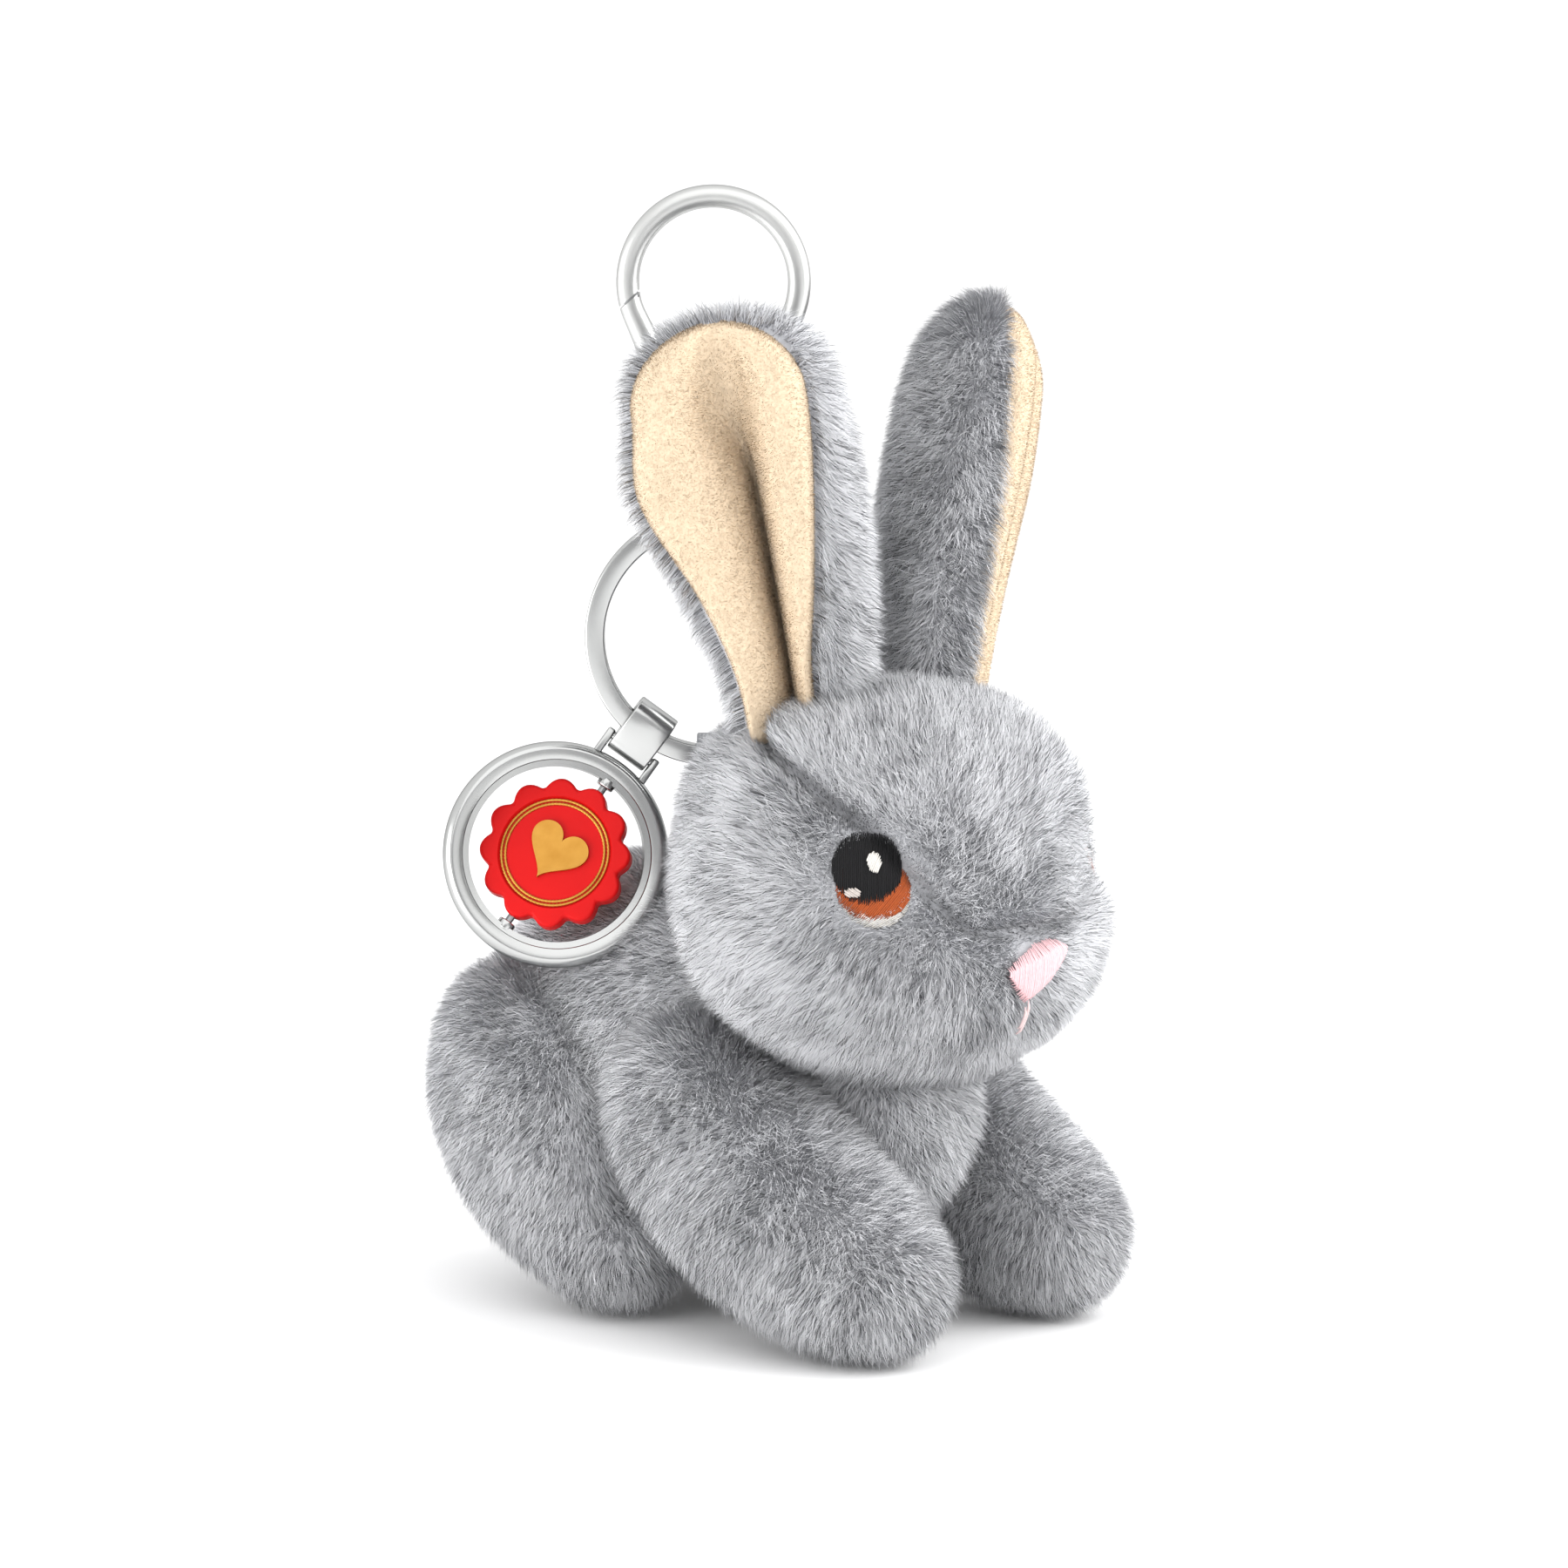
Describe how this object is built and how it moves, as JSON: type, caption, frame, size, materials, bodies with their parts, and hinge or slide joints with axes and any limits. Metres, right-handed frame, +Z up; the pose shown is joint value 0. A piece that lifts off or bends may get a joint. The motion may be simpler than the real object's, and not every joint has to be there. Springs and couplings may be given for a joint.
{
  "type": "plush keychain",
  "caption": "Soft grey plush rabbit keychain on a split ring, with a swivelling trigger clasp and a round charm whose scalloped disc spins in its frame.",
  "frame": {"origin": "centre of the inside of the clasp's crown, where the keychain hangs", "axes": "+Z up along the hanging line, +X across the flat of the clasp and the ring, +Y through their thickness, away from the side the ears' right lining shows on; the rabbit's nose points 50 degrees from -Y towards +X"},
  "size_m": [0.077, 0.0734, 0.1263],
  "materials": {
    "plush": "soft grey pile fabric",
    "lining": "short cream fleece",
    "filling": "loose polyester fibre",
    "black_thread": "satin stitch, black with a russet edge",
    "pink_thread": "satin stitch",
    "ribbon": "woven tape",
    "chrome": "bright plated",
    "spring_steel": "plain drawn steel",
    "red_enamel": "gloss red",
    "gold": "bright gold"
  },
  "bodies": {
    "clasp": {"clasp_body": "chrome", "gate_pin": "spring_steel", "gate_spring": "spring_steel"},
    "gate": {"clasp_gate": "chrome"},
    "swivel": {"swivel_eye": "chrome"},
    "ring": {"split_ring": "chrome"},
    "rabbit": {"hang_loop": "ribbon", "head_skin": "plush", "head_filling": "filling", "body_skin": "plush", "body_filling": "filling", "front_leg_right_skin": "plush", "front_leg_right_filling": "filling", "front_leg_left_skin": "plush", "front_leg_left_filling": "filling", "hind_leg_right_skin": "plush", "hind_leg_right_filling": "filling", "hind_leg_left_skin": "plush", "hind_leg_left_filling": "filling", "tail": "plush", "eye_right": "black_thread", "eye_left": "black_thread", "nose": "pink_thread", "mouth_stitch": "pink_thread"},
    "ear_right": {"ear_right_back": "plush", "ear_right_lining": "lining"},
    "ear_left": {"ear_left_back": "plush", "ear_left_lining": "lining"},
    "strap": {"bail_strap": "chrome"},
    "charm": {"charm_frame": "chrome", "charm_pin_upper": "spring_steel", "charm_pin_lower": "spring_steel"},
    "seal": {"seal_disc": "red_enamel", "seal_hoop_front": "gold", "seal_hoop_back": "gold", "seal_heart_front": "gold", "seal_heart_back": "gold"}
  },
  "joints": [
    {"name": "gate_press", "type": "hinge", "parent": "clasp", "child": "gate", "pos_m": [-0.00463, 0, -0.02288], "axis": [0, 1, 0], "range_deg": [0, 20], "stiffness_Nm_per_rad": 0.02, "springref_deg": -17.19},
    {"name": "clasp_swivel", "type": "hinge", "parent": "clasp", "child": "swivel", "pos_m": [0, 0, -0.028], "axis": [0, 0, 1], "continuous": true},
    {"name": "ring_swing", "type": "hinge", "parent": "swivel", "child": "ring", "pos_m": [0, 0, -0.0355], "axis": [1, 0, 0], "range_deg": [-20, 20]},
    {"name": "rabbit_swing", "type": "hinge", "parent": "ring", "child": "rabbit", "pos_m": [0, 0, -0.0625], "axis": [-1, 0, 0], "range_deg": [-20, 0]},
    {"name": "strap_slide", "type": "hinge", "parent": "ring", "child": "strap", "pos_m": [0, 0, -0.049], "axis": [0, 1, 0], "range_deg": [0, 50]},
    {"name": "charm_swing", "type": "hinge", "parent": "strap", "child": "charm", "pos_m": [-0.00947, 0, -0.06189], "axis": [-0.8059, 0, 0.592], "range_deg": [0, 45]},
    {"name": "seal_spin", "type": "hinge", "parent": "charm", "child": "seal", "pos_m": [-0.01809, -0.00363, -0.07362], "axis": [0.5744, 0.2419, 0.782], "continuous": true},
    {"name": "ear_right_flex", "type": "hinge", "parent": "rabbit", "child": "ear_right", "pos_m": [0.01018, -0.02051, -0.0565], "axis": [0.6428, 0.766, 0], "range_deg": [-10, 10], "stiffness_Nm_per_rad": 0.02},
    {"name": "ear_left_flex", "type": "hinge", "parent": "rabbit", "child": "ear_left", "pos_m": [0.0269, -0.0006, -0.0565], "axis": [0.6428, 0.766, 0], "range_deg": [-10, 10], "stiffness_Nm_per_rad": 0.02}
  ]
}
